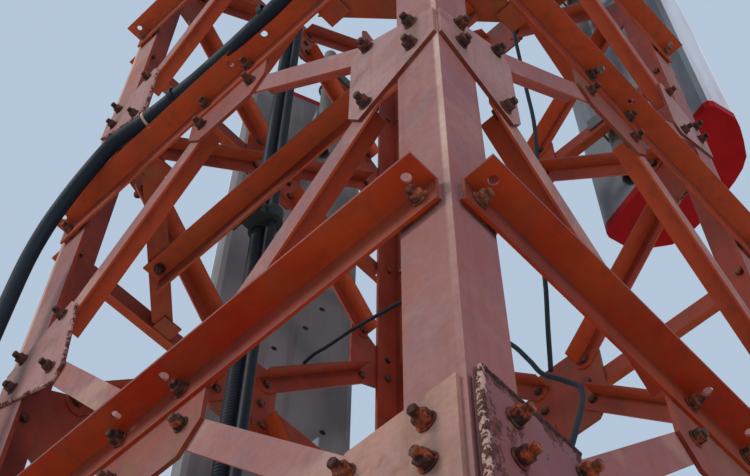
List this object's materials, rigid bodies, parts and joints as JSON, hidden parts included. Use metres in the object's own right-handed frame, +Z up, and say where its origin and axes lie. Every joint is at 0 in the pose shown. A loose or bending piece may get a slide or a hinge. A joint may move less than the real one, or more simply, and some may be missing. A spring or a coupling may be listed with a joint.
{
  "type": "cell tower",
  "caption": "Square lattice mast of bolted steel angle with cross braces, gusset plates and horizontals, feeder cables inside and panel antennas on pipes",
  "frame": {"origin": "on the tower's axis, at the undersides of the feet", "axes": "+Z up; the front face looks along -Y and the right face along +X; the near leg of the picture is at +X, -Y"},
  "size_m": [1.9602, 1.869, 8.1],
  "materials": {
    "faded_paint": "faded pink-orange paint over galvanised steel",
    "flaking_paint": "flaking paint and rust",
    "brown_steel": "brown primer",
    "black_jacket": "satin black polyethylene",
    "antenna_grey": "satin grey paint",
    "radome_white": "weathered satin",
    "cap_red": "satin",
    "zinc": "dull hot-dip zinc"
  },
  "bodies": {
    "root": {"leg_front_right": "faded_paint", "leg_front_left": "faded_paint", "leg_rear_right": "faded_paint", "leg_rear_left": "faded_paint", "feet": "faded_paint", "front_horizontals": "faded_paint", "right_horizontals": "faded_paint", "rear_horizontals": "faded_paint", "left_horizontals": "faded_paint", "front_diagonals": "faded_paint", "right_diagonals": "faded_paint", "rear_diagonals": "faded_paint", "left_diagonals": "faded_paint", "front_gussets": "faded_paint", "right_gussets": "faded_paint", "rear_gussets": "faded_paint", "left_gussets": "faded_paint", "front_centre_plates": "faded_paint", "right_centre_plates": "faded_paint", "rear_centre_plates": "faded_paint", "left_centre_plates": "faded_paint", "packing_plates": "faded_paint", "brace_cleats": "faded_paint", "corner_braces": "faded_paint", "feeder_bars": "faded_paint", "splice_plates": "flaking_paint", "feeder_arms": "brown_steel", "feeder_clamps": "black_jacket", "thick_feeder": "black_jacket", "thin_feeder": "black_jacket", "outer_feeder": "black_jacket", "feeder_clips": "black_jacket", "jumper_cables": "black_jacket", "rear_antenna_back": "antenna_grey", "left_antenna_back": "antenna_grey", "rear_antenna_radome": "radome_white", "left_antenna_radome": "radome_white", "rear_antenna_caps": "cap_red", "left_antenna_caps": "cap_red", "rear_antenna_pipe": "zinc", "rear_antenna_brackets": "zinc", "left_antenna_pipe": "zinc", "left_antenna_brackets": "zinc", "pipe_clamps": "zinc"}
  },
  "joints": []
}
